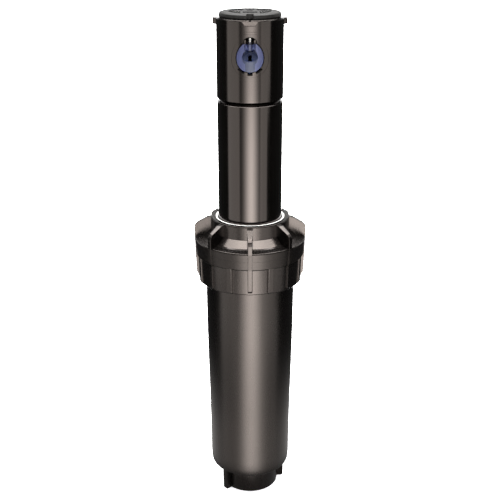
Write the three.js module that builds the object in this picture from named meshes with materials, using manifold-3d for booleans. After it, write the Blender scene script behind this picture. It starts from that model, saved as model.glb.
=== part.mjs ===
// A gear-driven pop-up lawn sprinkler, shown risen, in millimetres with +Z up.
// The origin is the centre of the inlet's bottom face, and the nozzle looks along -Y.
import * as THREE from "three";
import { mergeVertices } from "three/addons/utils/BufferGeometryUtils.js";
import Module from "manifold-3d";

const wasm = await Module();
wasm.setup();

// ---- driving dimensions ----
const GAP = 0.3; // between neighbouring pieces
const FINE = 32; // sides of the outer round pieces
const COARSE = 20; // sides of the inner round pieces

const TOP_Z = 290; // top of the rubber cover, risen
const INLET_R = 17; // outside of the inlet boss
const SOCKET_MOUTH_R = 12.7; // 3/4 inch pipe socket, at its mouth
const SOCKET_END_R = 12.1;
const CASE_FLOOR_Z = 15; // outside of the case's floor
const CASE_TOP_Z = 161.5;
const CASE_WALL = 2.2;
const SPLINE_R = 21.05; // inner edge of the case's guide splines

const CAP_BOTTOM_Z = 139;
const CAP_RIM_Z = 176.5;
const CAP_RIM_R = 22.4;
const POCKET_R = 28.5; // depth of the cap's finger pockets
const POCKET_TOP_Z = 153.8;

const RISER_R = 18;
const RISER_WALL = 1.7;
const INSERT_R = 16; // outside of the pieces that fit in the riser's bore
const RISER_TOP_Z = 242.2;
const FLANGE_Z = 132.5; // underside of the riser's foot flange
const FLANGE_TOP_Z = 136;
const FLANGE_R = 21.5;

const TURRET_R = 18.2;
const TURRET_WALL = 2;
const TURRET_BOTTOM_Z = 244.2;
const DECK_Z = 286.9; // top of the turret, under the cover
const DECK_THICK = 2;

const NOZZLE_Z = 268.5; // where the nozzle's axis meets the turret's surface
const NOZZLE_TILT = THREE.MathUtils.degToRad(25);
const NOZZLE_R = 7.05;
const PORT_R = 7.5; // bore that the nozzle pushes into
const PORT_WALL = 1.6;

const DRIVE_R = 6.5; // hollow shaft that turns the turret
const DRIVE_BORE_R = 5;

// Gear train: every stage joins the centre line and one post beside it.
const GEAR_MODULE = 0.4;
const PINION_TEETH = 8;
const WHEEL_TEETH = 22;
const RING_TEETH = 38;
const POST_X = (GEAR_MODULE * (PINION_TEETH + WHEEL_TEETH)) / 2;
const WHEEL_THICK = 3;
const FIRST_WHEEL_Z = 170;
const STAGE_RISE = 6;
const STAGES = 3;

// Arc setting: a key turns a pinion, and the pinion turns a sleeve with a stop on it.
const ARC_MODULE = 0.5;
const ARC_PINION_TEETH = 10;
const ARC_GEAR_TEETH = 34;
const ARC_GEAR_Z = 247;
const ARC_REACH = (ARC_MODULE * (ARC_PINION_TEETH + ARC_GEAR_TEETH)) / 2;
const ARC_AZIMUTH = THREE.MathUtils.degToRad(45);

const TRIP_R = 14.5; // the trip rod's distance from the centre line
const SCREW_Y = -15.4; // the nozzle screw's place

// ---- materials ----
const plastic = (color, roughness = 0.4) =>
  new THREE.MeshStandardMaterial({ color, roughness, metalness: 0 });
const steel = new THREE.MeshStandardMaterial({ color: 0xb8b8b5, roughness: 0.25, metalness: 1 });
const materials = {
  housing: plastic(0x2a2624),
  rubber: plastic(0x34322f, 0.8),
  nozzleBlue: plastic(0x274a8c, 0.45),
  pale: plastic(0xe6e4dd, 0.5),
  gear: plastic(0xd9d4c4, 0.5),
  screen: plastic(0x6f6f6a, 0.6),
  steel,
};

// ---- helpers: geometry in, solid out ----
function solid(geometry) {
  const bare = geometry.index ? geometry.toNonIndexed() : geometry.clone();
  bare.deleteAttribute("normal");
  bare.deleteAttribute("uv");
  const merged = mergeVertices(bare, 1e-4);
  return new wasm.Manifold(
    new wasm.Mesh({
      numProp: 3,
      vertProperties: merged.attributes.position.array,
      triVerts: new Uint32Array(merged.index.array),
    }),
  );
}

function geometryOf(manifold) {
  const mesh = manifold.getMesh();
  const stride = mesh.numProp;
  const points = new Float32Array(mesh.numVert * 3);
  for (let i = 0; i < mesh.numVert; i++)
    points.set(mesh.vertProperties.subarray(i * stride, i * stride + 3), i * 3);
  const geometry = new THREE.BufferGeometry();
  geometry.setAttribute("position", new THREE.BufferAttribute(points, 3));
  geometry.setIndex(new THREE.BufferAttribute(mesh.triVerts, 1));
  geometry.computeVertexNormals();
  return geometry;
}

// A profile of [radius, z] turned about Z. A profile off the axis is closed on itself.
function turned(profile, sides = FINE) {
  const points = profile.map(([r, z]) => new THREE.Vector2(r, z));
  if (profile[0][0] > 0) points.push(points[0].clone());
  return solid(new THREE.LatheGeometry(points, sides).rotateX(Math.PI / 2));
}

const tube = (outer, inner, z0, z1, sides = COARSE) =>
  turned([[inner, z0], [outer, z0], [outer, z1], [inner, z1]], sides);

const disc = (r, z0, z1, sides = COARSE) => turned([[0, z0], [r, z0], [r, z1], [0, z1]], sides);

function block(width, depth, height, x, y, z) {
  return solid(new THREE.BoxGeometry(width, depth, height).translate(x, y, z));
}

// A round bar between two points.
function bar(radius, from, to, sides = COARSE) {
  const a = new THREE.Vector3(...from);
  const b = new THREE.Vector3(...to);
  const along = b.clone().sub(a);
  const turn = new THREE.Quaternion().setFromUnitVectors(
    new THREE.Vector3(0, 1, 0),
    along.clone().normalize(),
  );
  const geometry = new THREE.CylinderGeometry(radius, radius, along.length(), sides)
    .applyQuaternion(turn)
    .translate(...a.add(b).multiplyScalar(0.5).toArray());
  return solid(geometry);
}

const union = (pieces) => pieces.reduce((whole, piece) => whole.add(piece));
const cut = (whole, tools) => tools.reduce((rest, tool) => rest.subtract(tool), whole);

// The piece repeated at even angles about Z, the first one turned by start.
function around(piece, count, start = 0) {
  return Array.from({ length: count }, (_, i) =>
    piece.rotate([0, 0, start + (360 * i) / count]),
  );
}

// A flat plate whose outline of [radius, z] stands in the XZ plane.
function upright(outline, thickness) {
  const shape = new THREE.Shape(outline.map(([r, z]) => new THREE.Vector2(r, z)));
  const geometry = new THREE.ExtrudeGeometry(shape, { depth: thickness, bevelEnabled: false });
  return solid(geometry.translate(0, 0, -thickness / 2).rotateX(Math.PI / 2));
}

// A spur gear's outline. Teeth are thinner than half the pitch, so that there is backlash.
function gearShape(teeth, module, phase, inward = false) {
  const pitchR = (teeth * module) / 2;
  const tipR = pitchR + (inward ? -0.8 : 0.8) * module;
  const rootR = pitchR + (inward ? 1.15 : -1.15) * module;
  const pitch = (2 * Math.PI) / teeth;
  const tipHalf = pitch * 0.09;
  const rootHalf = pitch * 0.27;
  const points = [];
  for (let i = 0; i < teeth; i++) {
    const centre = phase + i * pitch;
    for (const [radius, offset] of [
      [rootR, -rootHalf],
      [tipR, -tipHalf],
      [tipR, tipHalf],
      [rootR, rootHalf],
    ])
      points.push(
        new THREE.Vector2(
          radius * Math.cos(centre + offset),
          radius * Math.sin(centre + offset),
        ),
      );
  }
  return points;
}

function gear(teeth, module, z0, z1, phase = 0) {
  const shape = new THREE.Shape(gearShape(teeth, module, phase));
  const geometry = new THREE.ExtrudeGeometry(shape, { depth: z1 - z0, bevelEnabled: false });
  return solid(geometry.translate(0, 0, z0));
}

class Helix extends THREE.Curve {
  constructor(radius, turns, z0, z1) {
    super();
    Object.assign(this, { radius, turns, z0, z1 });
  }
  getPoint(t, target = new THREE.Vector3()) {
    const angle = 2 * Math.PI * this.turns * t;
    const z = this.z0 + (this.z1 - this.z0) * t;
    return target.set(this.radius * Math.cos(angle), this.radius * Math.sin(angle), z);
  }
}

function coil(radius, wire, turns, z0, z1, stepsPerTurn, sides) {
  const ring = Array.from({ length: sides }, (_, i) => {
    const angle = (2 * Math.PI * i) / sides;
    return new THREE.Vector2(wire * Math.cos(angle), wire * Math.sin(angle));
  });
  const geometry = new THREE.ExtrudeGeometry(new THREE.Shape(ring), {
    steps: Math.round(turns * stepsPerTurn),
    extrudePath: new Helix(radius, turns, z0 + wire, z1 - wire),
    bevelEnabled: false,
  });
  return solid(geometry);
}

// ---- bodies: one group for each piece of the motion ----
const sprinkler = new THREE.Group();
sprinkler.name = "pop_up_sprinkler";

function body(name) {
  const group = new THREE.Group();
  group.name = name;
  sprinkler.add(group);
  return group;
}

function place(group, name, shape, material, at = [0, 0, 0]) {
  const mesh = new THREE.Mesh(geometryOf(shape), material);
  mesh.name = name;
  mesh.position.set(...at);
  group.add(mesh);
  return mesh;
}

// ---- the buried case ----
const caseBody = body("case");

// Outside radius of the case at a height: it widens upwards, as a moulding with draft does.
const CASE_OUTLINE = [[24.1, 20], [24.9, 77], [25.6, 131], [25.6, 137.5]];

function caseShell() {
  const inside = CASE_OUTLINE.map(([r, z]) => [r - CASE_WALL, z]).reverse();
  return turned([
    [SOCKET_MOUTH_R, 0],
    [INLET_R - 0.5, 0],
    [INLET_R, 0.5],
    [INLET_R, CASE_FLOOR_Z],
    [22.4, CASE_FLOOR_Z],
    [23.7, CASE_FLOOR_Z + 1.4],
    ...CASE_OUTLINE,
    [24.5, 138.6],
    [24.5, 151.4],
    [25.4, 152.2],
    [25.4, 153.4],
    [24.5, 153.8],
    [24.5, CASE_TOP_Z - 0.6],
    [24, CASE_TOP_Z],
    [22.6, CASE_TOP_Z],
    [22.6, 140],
    ...inside,
    [21.4, CASE_FLOOR_Z + CASE_WALL],
    [14.2, CASE_FLOOR_Z + CASE_WALL],
    [SOCKET_END_R, CASE_FLOOR_Z],
  ]);
}

function inletFins() {
  const fin = upright([[15.5, 0], [20.3, 0], [20.9, 0.8], [21.3, CASE_FLOOR_Z + 1], [15.5, 15.6]], 3);
  return [-138, 6, 78, 150].map((angle) => fin.rotate([0, 0, angle]));
}

function guideSplines() {
  const spline = upright([[SPLINE_R, 17.5], [22.6, 17.5], [23.8, 128], [SPLINE_R, 126]], 2);
  return around(spline, 4, 45);
}

place(caseBody, "case_body", union([caseShell(), ...inletFins(), ...guideSplines()]), materials.housing);

function capShell() {
  const shell = turned([
    [26.2, CAP_BOTTOM_Z],
    [29.8, CAP_BOTTOM_Z],
    [30.2, CAP_BOTTOM_Z + 0.4],
    [30.7, 154],
    [31.1, 154.6],
    [31.4, 163.4],
    [31, 164.2],
    [27.4, 164.8],
    [26.3, 165.3],
    [CAP_RIM_R, 168.9],
    [CAP_RIM_R, CAP_RIM_Z - 0.5],
    [CAP_RIM_R - 0.5, CAP_RIM_Z],
    [19.8, CAP_RIM_Z],
    [19.8, 174.6],
    [20.9, 174.6],
    [20.9, 167.4],
    [24.8, 164.2],
    [25.9, 161.5],
    [25.9, 150.4],
    [25, 149.8],
    [25, 148.6],
    [25.9, 147.8],
  ]);
  // finger pockets on both sides of each full rib
  const pocket = block(8, 8.6, POCKET_TOP_Z - 138.6, POCKET_R + 4, 0, (POCKET_TOP_Z + 138.6) / 2);
  return [...around(pocket, 4, 11.1), ...around(pocket, 4, -11.1)].reduce(
    (left, cut) => left.subtract(cut),
    shell,
  );
}

function capRibs() {
  const inner = 26.6;
  const top = [[21.4, 175.6], [24.4, 175.3], [30.4, 172.1], [31.6, 170.6], [32.05, 168.6]];
  const seat = [[inner, 139.3], [inner, 164], [21.6, 168.6]];
  const fullEdge = [[31.75, 155], [31.05, 141.6], [30.3, 140.6], [28, 139.3]];
  const steppedEdge = [[31.7, 155], [30.4, 153], [29.8, 140.2], [28, 139.3]];
  const shortEdge = [[30.2, 139.3], [30.7, 140], [31, 154.9]];
  const full = upright([...top, ...fullEdge, ...seat].reverse(), 2.4);
  const stepped = upright([...top, ...steppedEdge, ...seat].reverse(), 2.4);
  const short = upright([[inner, 139.3], ...shortEdge, [inner, 154.9]], 3.2);
  return [...around(full, 4, 0), ...around(stepped, 4, 45), ...around(short, 8, 22.5)];
}

place(caseBody, "body_cap", union([capShell(), ...capRibs()]), materials.housing);

place(
  caseBody,
  "seal_ring",
  turned([
    [18.5, 175.1],
    [19.5, 174.95],
    [19.5, CAP_RIM_Z - 0.25],
    [19.2, CAP_RIM_Z - 0.1],
    [18.5, CAP_RIM_Z - 0.5],
  ]),
  materials.pale,
);

place(
  caseBody,
  "wiper_seal",
  turned([
    [18.9, 162.2],
    [24.2, 162.2],
    [24.2, 163.6],
    [20.6, 166.9],
    [20.6, 174.3],
    [18.35, 174.6],
    [18.35, 173.6],
    [19.4, 172.4],
    [19.4, 166],
    [18.9, 165.2],
  ]),
  materials.rubber,
);

const SPRING_TOP_Z = 162.2 - GAP;
place(
  caseBody,
  "retraction_spring",
  coil(19.95, 0.8, 9, FLANGE_TOP_Z + GAP, SPRING_TOP_Z, 10, 4),
  materials.steel,
);

// ---- the riser, which slides up and down in the case ----
const riserBody = body("riser");
const RISER_BORE = RISER_R - RISER_WALL;
const NECK_R = TURRET_R - TURRET_WALL - 0.4; // neck that reaches up inside the turret
const COLLAR_R = 17.4; // step that fills the joint under the turret
const BEARING_R = 10.4;

function riserTube() {
  const shell = turned([
    [RISER_BORE, FLANGE_Z],
    [FLANGE_R, FLANGE_Z],
    [FLANGE_R, FLANGE_TOP_Z],
    [RISER_R, FLANGE_TOP_Z],
    [RISER_R, RISER_TOP_Z - 0.4],
    [RISER_R - 0.4, RISER_TOP_Z],
    [COLLAR_R, RISER_TOP_Z],
    [COLLAR_R, TURRET_BOTTOM_Z - GAP],
    [NECK_R, TURRET_BOTTOM_Z - GAP],
    [NECK_R, RISER_TOP_Z + 3],
    [NECK_R - 1.2, RISER_TOP_Z + 3],
    [NECK_R - 1.2, RISER_TOP_Z - 0.6],
    [BEARING_R, RISER_TOP_Z - 0.6],
    [BEARING_R, RISER_TOP_Z - 3],
    [RISER_BORE, RISER_TOP_Z - 4],
  ]);
  const notch = block(3, 2.8, 6, FLANGE_R + 0.75, 0, (FLANGE_Z + FLANGE_TOP_Z) / 2);
  return cut(shell, around(notch, 4, 45));
}

place(riserBody, "riser_tube", riserTube(), materials.housing);

// Filter basket in the riser's foot: a slotted cup, open at the top.
const SCREEN_Z = 129.6;
const SCREEN_TOP_Z = 148;
function filterScreen() {
  const cup = turned([
    [0, SCREEN_Z],
    [13.6, SCREEN_Z],
    [14.4, SCREEN_TOP_Z - 1.5],
    [INSERT_R, SCREEN_TOP_Z - 1.5],
    [INSERT_R, SCREEN_TOP_Z],
    [13.2, SCREEN_TOP_Z],
    [12.5, SCREEN_Z + 1.2],
    [0, SCREEN_Z + 1.2],
  ], COARSE);
  const slot = block(6, 3.2, 11.5, 13.5, 0, SCREEN_Z + 8.4);
  const hole = block(7, 3, 4, 7.5, 0, SCREEN_Z);
  return cut(cup, [...around(slot, 12), ...around(hole, 5)]);
}

place(riserBody, "filter_screen", filterScreen(), materials.screen);

// Stator: a plate with slanted jets that aim the water at the turbine.
const STATOR_Z = 150;
const STATOR_THICK = 4;
const VALVE_X = -8.6; // the bypass valve's place on the stator
const SHAFT_R = 0.9;
function stator() {
  const plate = disc(INSERT_R, STATOR_Z, STATOR_Z + STATOR_THICK);
  const top = STATOR_Z + STATOR_THICK + 1;
  const jets = [55, 90, 125, 235, 270, 305].map((angle) =>
    bar(1.5, [10.5, -3.2, STATOR_Z - 1], [10.5, 3.2, top], 8).rotate([0, 0, angle]),
  );
  return cut(plate, [
    bar(SHAFT_R + 0.15, [0, 0, STATOR_Z - 1], [0, 0, top], 12),
    bar(2.4, [VALVE_X, 0, STATOR_Z + 1.4], [VALVE_X, 0, top], 12),
    bar(1.1, [VALVE_X, 0, STATOR_Z - 1], [VALVE_X, 0, top], 12),
    ...[-14, 14].map((angle) => bar(1.3, [11.4, 0, STATOR_Z - 1], [11.4, 0, top], 12).rotate([0, 0, angle])),
    bar(1.1, [TRIP_R, 0, STATOR_Z + 1.2], [TRIP_R, 0, top], 12),
    ...jets,
  ]);
}

place(riserBody, "stator", stator(), materials.gear);

// Gear case: a base plate and a cover with the gears between them.
const GEAR_CASE_R = 13.2;
const BASE_Z = 166.2;
const COVER_TOP_Z = FIRST_WHEEL_Z + STAGE_RISE * (STAGES - 1) + WHEEL_THICK + 2.8;
place(
  riserBody,
  "gear_case_base",
  cut(
    union([
      disc(GEAR_CASE_R, BASE_Z, BASE_Z + 1.6),
      tube(INSERT_R, 14.6, BASE_Z, BASE_Z + 1.6),
      ...around(block(3, 2, 1.6, 14, 0, BASE_Z + 0.8), 4, 45),
    ]),
    [
      bar(SHAFT_R + 0.15, [0, 0, BASE_Z - 1], [0, 0, BASE_Z + 3], 12),
      bar(1.05, [POST_X, 0, BASE_Z + 0.5], [POST_X, 0, BASE_Z + 3], 12),
      bar(1.9, [TRIP_R, 0, BASE_Z - 1], [TRIP_R, 0, BASE_Z + 3], 12),
    ],
  ),
  materials.gear,
);

place(
  riserBody,
  "gear_case_cover",
  cut(
    turned([
      [GEAR_CASE_R - 1.2, BASE_Z + 1.6 + GAP],
      [GEAR_CASE_R, BASE_Z + 1.6 + GAP],
      [GEAR_CASE_R, COVER_TOP_Z - 0.6],
      [GEAR_CASE_R - 0.6, COVER_TOP_Z],
      [1.1, COVER_TOP_Z],
      [1.1, COVER_TOP_Z - 1.4],
      [GEAR_CASE_R - 1.2, COVER_TOP_Z - 1.4],
    ], COARSE),
    [bar(2.6, [POST_X, 0, COVER_TOP_Z - 3], [POST_X, 0, COVER_TOP_Z + 1], 16)],
  ),
  materials.gear,
);

const POST_TOP_Z = COVER_TOP_Z + 4;
const gearPost = bar(0.8, [0, 0, BASE_Z + 0.8], [0, 0, POST_TOP_Z], 12);
place(riserBody, "gear_post", gearPost, materials.steel, [POST_X, 0, 0]);

// ---- the turbine and its gears ----
const turbineBody = body("turbine");
const TURBINE_Z = 158.4;
function turbineWheel() {
  const wheel = union([
    disc(4, TURBINE_Z, TURBINE_Z + 5, 16),
    disc(13, TURBINE_Z + 2, TURBINE_Z + 3),
    ...around(block(10, 0.9, 5, 8, 0, TURBINE_Z + 2.5), 8),
  ]);
  return cut(wheel, [bar(SHAFT_R + GAP, [0, 0, TURBINE_Z - 1], [0, 0, TURBINE_Z + 7], 12)]);
}

place(turbineBody, "turbine_wheel", turbineWheel(), materials.gear);
const turbineShaft = bar(SHAFT_R, [0, 0, STATOR_Z + 0.6], [0, 0, COVER_TOP_Z - 0.4], 12);
place(turbineBody, "turbine_shaft", turbineShaft, materials.steel);

// Each compound gear is a wheel with a smaller pinion on top of it. The odd ones stand on the post.
const compoundGears = [];
for (let stage = 1; stage <= STAGES; stage++) {
  const onPost = stage % 2 === 1;
  const z = FIRST_WHEEL_Z + STAGE_RISE * (stage - 1);
  const last = stage === STAGES;
  compoundGears.push({
    name: `compound_gear_${stage}`,
    x: onPost ? POST_X : 0,
    z,
    pinionTop: last ? COVER_TOP_Z + 4.6 : z + STAGE_RISE + WHEEL_THICK,
    boreR: (onPost ? 0.8 : SHAFT_R) + GAP / 2,
  });
}

// Phases put a tooth of one gear in a gap of the next, along the line between their axes.
const WHEEL_PITCH = (2 * Math.PI) / WHEEL_TEETH;
function compoundGear({ x, z, pinionTop, boreR }) {
  const wheelPhase = x > 0 ? Math.PI + WHEEL_PITCH / 2 : WHEEL_PITCH / 2;
  const shape = union([
    gear(WHEEL_TEETH, GEAR_MODULE, z, z + WHEEL_THICK, wheelPhase),
    gear(PINION_TEETH, GEAR_MODULE, z + WHEEL_THICK, pinionTop, 0),
  ]);
  return cut(shape, [bar(boreR, [0, 0, z - 1], [0, 0, pinionTop + 1], 12)]);
}

const turbinePinion = cut(
  gear(PINION_TEETH, GEAR_MODULE, FIRST_WHEEL_Z - 0.4, FIRST_WHEEL_Z + WHEEL_THICK + 0.4),
  [bar(SHAFT_R + GAP / 2, [0, 0, FIRST_WHEEL_Z - 2], [0, 0, FIRST_WHEEL_Z + 4], 12)],
);
place(turbineBody, "turbine_pinion", turbinePinion, materials.steel);

for (const piece of compoundGears)
  place(body(piece.name), piece.name, compoundGear(piece), materials.gear, [piece.x, 0, 0]);

// ---- the turret, which turns on the riser ----
const turretBody = body("turret");
const RING_Z = COVER_TOP_Z + 0.8;
const RING_PLATE_Z = RING_Z + 4.4;
const DRIVE_TOP_Z = 254;

function driveShaft() {
  const cup = union([
    tube(10.6, 9, RING_Z, RING_PLATE_Z + 1.6),
    disc(9.6, RING_PLATE_Z, RING_PLATE_Z + 1.6),
    disc(DRIVE_R, RING_PLATE_Z + 0.4, DRIVE_TOP_Z),
  ]);
  const teeth = solid(
    new THREE.ExtrudeGeometry(
      (() => {
        const rim = new THREE.Shape().absarc(0, 0, 9.4, 0, 2 * Math.PI, false);
        rim.holes.push(new THREE.Path(gearShape(RING_TEETH, GEAR_MODULE, Math.PI / RING_TEETH, true)));
        return rim;
      })(),
      { depth: 3.6, bevelEnabled: false, curveSegments: 12 },
    ).translate(0, 0, RING_Z),
  );
  const bore = bar(DRIVE_BORE_R, [0, 0, RING_PLATE_Z + 3], [0, 0, DRIVE_TOP_Z + 1], COARSE);
  const windows = around(block(5, 4.4, 12, DRIVE_R, 0, RING_PLATE_Z + 11), 3);
  return cut(cup.add(teeth), [bore, ...windows]);
}

place(turretBody, "drive_shaft", driveShaft(), materials.gear);

const STOP_Z = 221; // underside of both stops
const FIXED_STOP_AZIMUTH = 180;
const LEAST_ARC = 40; // degrees between the stops at rest
place(
  turretBody,
  "fixed_stop",
  union([tube(8.4, DRIVE_R + GAP, STOP_Z, STOP_Z + 3), block(4.6, 1.4, 3, 10.2, 0, STOP_Z + 1.5)]).rotate([
    0,
    0,
    FIXED_STOP_AZIMUTH,
  ]),
  materials.gear,
);

// Bearing, washer and seal that carry the turret in the riser's top.
const SLEEVE_R = 8.1;
place(
  riserBody,
  "turret_bearing",
  turned([
    [SLEEVE_R + 0.25, 234],
    [BEARING_R - GAP, 234],
    [BEARING_R - GAP, RISER_TOP_Z - 0.9],
    [SLEEVE_R + 0.25, RISER_TOP_Z - 0.9],
  ], COARSE),
  materials.pale,
);
const WASHER_Z = RISER_TOP_Z - GAP;
place(riserBody, "thrust_washer", tube(12.6, SLEEVE_R + 0.25, WASHER_Z, WASHER_Z + 1), materials.steel);
place(riserBody, "turret_seal", tube(14, 12.9, WASHER_Z, WASHER_Z + 1.7), materials.rubber);

const PORT_AXIS = new THREE.Vector3(0, -Math.cos(NOZZLE_TILT), Math.sin(NOZZLE_TILT));
const PORT_MOUTH = new THREE.Vector3(0, -TURRET_R, NOZZLE_Z);
const onPortAxis = (distance) => PORT_MOUTH.clone().addScaledVector(PORT_AXIS, distance).toArray();
const adjusterAt = [ARC_REACH * Math.cos(ARC_AZIMUTH), ARC_REACH * Math.sin(ARC_AZIMUTH)];

function turretShell() {
  const inner = TURRET_R - TURRET_WALL;
  const shell = turned([
    [0, DECK_Z - DECK_THICK],
    [inner, DECK_Z - DECK_THICK],
    [inner, TURRET_BOTTOM_Z + 0.4],
    [inner + 0.4, TURRET_BOTTOM_Z],
    [TURRET_R - 0.4, TURRET_BOTTOM_Z],
    [TURRET_R, TURRET_BOTTOM_Z + 0.4],
    [TURRET_R, DECK_Z - 0.6],
    [TURRET_R - 0.5, DECK_Z],
    [0, DECK_Z],
  ]);
  const lugs = around(block(2.9, 5, 3.5, 18.55, 0, 284.95), 2);
  const notch = [[-4.3, 286.1], [-2.8, 284], [2.8, 284], [4.3, 286.1]];
  return cut(union([shell, ...lugs]), [
    bar(PORT_R, onPortAxis(-6), onPortAxis(6), 28),
    bar(3.2, [0, SCREW_Y - 1.4, NOZZLE_Z], [0, SCREW_Y - 1.4, 278.4], 20),
    bar(1.8, [0, SCREW_Y, 270], [0, SCREW_Y, DECK_Z + 1], 12),
    bar(2.5, [...adjusterAt, 280], [...adjusterAt, DECK_Z + 1], 16),
    upright(notch, 3).translate([0, -TURRET_R - 0.2, 0]),
  ]);
}

place(turretBody, "turret_shell", turretShell(), materials.housing);

// Inner body of the turret: a riser pipe that bends out into the nozzle's socket.
function nozzlePort() {
  const outerR = PORT_R + PORT_WALL;
  const pipe = disc(DRIVE_R + 2.3, 250.6, 262);
  const socket = bar(outerR, onPortAxis(-26), onPortAxis(3), 28);
  const skirt = tube(15.6, 14.2, 246.6, 256);
  const web = disc(14.9, 254.2, 256);
  const roof = block(40, 40, 20, 0, 0, DECK_Z - DECK_THICK - GAP + 10);
  const round = disc(TURRET_R - TURRET_WALL - GAP, 240, 290, FINE);
  return cut(union([pipe, socket, web, skirt]).intersect(round), [
    roof,
    bar(DRIVE_R + 0.35, [0, 0, 245], [0, 0, DRIVE_TOP_Z + 0.4]),
    bar(DRIVE_BORE_R, [0, 0, 250], [0, 0, 263]),
    bar(PORT_R, onPortAxis(-21), onPortAxis(8), 28),
    bar(2.3, [0, SCREW_Y, 266], [0, SCREW_Y, 290], 12),
    bar(3.2, [...adjusterAt, 240], [...adjusterAt, 290], 16),
  ]);
}

place(turretBody, "nozzle_port", nozzlePort(), materials.housing);

// Nozzle: a plug cut flush with the turret's round wall, with a sunk face, a tall orifice, a hollow
// throat behind it, and a channel at the top for the screw.
const NOZZLE_SINK = 0.45; // below the turret's surface
function nozzle() {
  const plug = turned([
    [0, -15],
    [NOZZLE_R - 1.4, -15],
    [NOZZLE_R - 0.2, -13.5],
    [NOZZLE_R, -4],
    [NOZZLE_R, 7],
    [0, 7],
  ], 28);
  const throat = turned([[0, -16], [4.6, -16], [3, -4.6], [0, -4.6]], 16);
  const orifice = block(1.9, 3.1, 8, 0, 0, -4);
  const face = disc(4.2, -1.8, 9, 20);
  const shape = cut(plug, [throat, orifice, face])
    .rotate([90 - THREE.MathUtils.radToDeg(NOZZLE_TILT), 0, 0])
    .translate(onPortAxis(-1.6));
  const flush = disc(TURRET_R - NOZZLE_SINK, 240, 290, FINE);
  return cut(shape.intersect(flush), [block(4.4, 6.4, 12, 0, SCREW_Y - 1.4, NOZZLE_Z + 6)]);
}

place(turretBody, "nozzle", nozzle(), materials.nozzleBlue);

// Rubber cover with sockets for the key: lifting slot, arc setting and nozzle screw.
function rubberCover() {
  const pad = turned([
    [0, DECK_Z + GAP],
    [16.6, DECK_Z + GAP],
    [16.7, DECK_Z + 0.9],
    [16.4, TOP_Z - 0.7],
    [15.6, TOP_Z - 0.2],
    [12, TOP_Z],
    [0, TOP_Z],
  ]);
  return cut(pad, [
    block(3.4, 3.8, 3.4, 0, 6.2, TOP_Z),
    block(7.6, 3.8, 1.2, 0, -3.4, TOP_Z),
    bar(1.9, [...adjusterAt, 280], [...adjusterAt, TOP_Z + 1], 12),
    bar(1.9, [0, SCREW_Y + 1.2, 280], [0, SCREW_Y + 1.2, TOP_Z + 1], 12),
    bar(1.9, [0, SCREW_Y, 280], [0, SCREW_Y, TOP_Z + 1], 12),
  ]);
}

place(turretBody, "rubber_cover", rubberCover(), materials.rubber);

// ---- pieces that a key turns ----
const SCREW_TIP_Z = 275.2;
const screwShape = cut(
  turned([
    [0, SCREW_TIP_Z - 0.8],
    [0.9, SCREW_TIP_Z],
    [1.4, SCREW_TIP_Z + 0.8],
    [1.4, DECK_Z - 0.2],
    [0, DECK_Z - 0.2],
  ], 14),
  [bar(0.75, [0, 0, DECK_Z - 3], [0, 0, DECK_Z + 1], 6)],
);
place(body("nozzle_screw"), "nozzle_screw", screwShape, materials.steel, [0, SCREW_Y, 0]);

function arcAdjuster() {
  const shape = union([
    gear(ARC_PINION_TEETH, ARC_MODULE, ARC_GEAR_Z - 0.3, ARC_GEAR_Z + 3, Math.PI + ARC_AZIMUTH),
    bar(1.6, [0, 0, ARC_GEAR_Z + 2.8], [0, 0, 279], 12),
    bar(2.2, [0, 0, 278.6], [0, 0, DECK_Z - 0.2], 14),
  ]);
  return cut(shape, [block(2.2, 0.9, 3, 0, 0, DECK_Z - 1)]);
}

place(body("arc_adjuster"), "arc_adjuster", arcAdjuster(), materials.pale, [...adjusterAt, 0]);

function arcSleeve() {
  const toothPhase = ARC_AZIMUTH + Math.PI / ARC_GEAR_TEETH;
  const stopArm = block(5.6, 1.4, 3, 10, 0, STOP_Z + 6);
  const stopFinger = block(3.2, 1.4, 6, 11.2, 0, STOP_Z + 3);
  const shape = union([
    tube(SLEEVE_R - 0.1, DRIVE_R + 0.3, STOP_Z + 4.5, ARC_GEAR_Z + 1),
    gear(ARC_GEAR_TEETH, ARC_MODULE, ARC_GEAR_Z, ARC_GEAR_Z + 2.4, toothPhase),
    stopArm.add(stopFinger).rotate([0, 0, FIXED_STOP_AZIMUTH + LEAST_ARC]),
  ]);
  return cut(shape, [bar(DRIVE_R + 0.3, [0, 0, 220], [0, 0, 255], COARSE)]);
}

place(body("arc_sleeve"), "arc_sleeve", arcSleeve(), materials.gear);

// ---- reversing gear: the stops throw a lever, and its rod moves a flap over the stator's ports ----
const tripBody = body("trip");
const TRIP_TURN = -22; // the lever leans to one side at rest and is thrown to the other
const FLAP_Z = STATOR_Z + STATOR_THICK + GAP;
const LEVER_Z = STOP_Z - 2.4;
const tripRod = bar(0.8, [0, 0, STATOR_Z + 1.6], [0, 0, STOP_Z - 0.2], 12);
place(tripBody, "trip_rod", tripRod, materials.steel, [TRIP_R, 0, 0]);
const collar = (z0, z1) => tube(1.45, 1.1, z0, z1, 12);
const arm = (reach, width, z0, z1) =>
  block(reach - 1.2, width, z1 - z0, -(reach + 1.2) / 2, 0, (z0 + z1) / 2);
place(
  tripBody,
  "trip_lever",
  union([collar(LEVER_Z - 0.8, LEVER_Z + 2), arm(4.4, 1.8, LEVER_Z, LEVER_Z + 2)]).rotate([0, 0, TRIP_TURN]),
  materials.gear,
  [TRIP_R, 0, 0],
);
place(
  tripBody,
  "diverter_flap",
  union([
    collar(FLAP_Z, FLAP_Z + 2),
    arm(3.6, 3, FLAP_Z, FLAP_Z + 1),
    block(2.8, 4.8, 1, -3.5, 0, FLAP_Z + 0.5),
  ]).rotate([0, 0, TRIP_TURN]),
  materials.gear,
  [TRIP_R, 0, 0],
);

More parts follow.
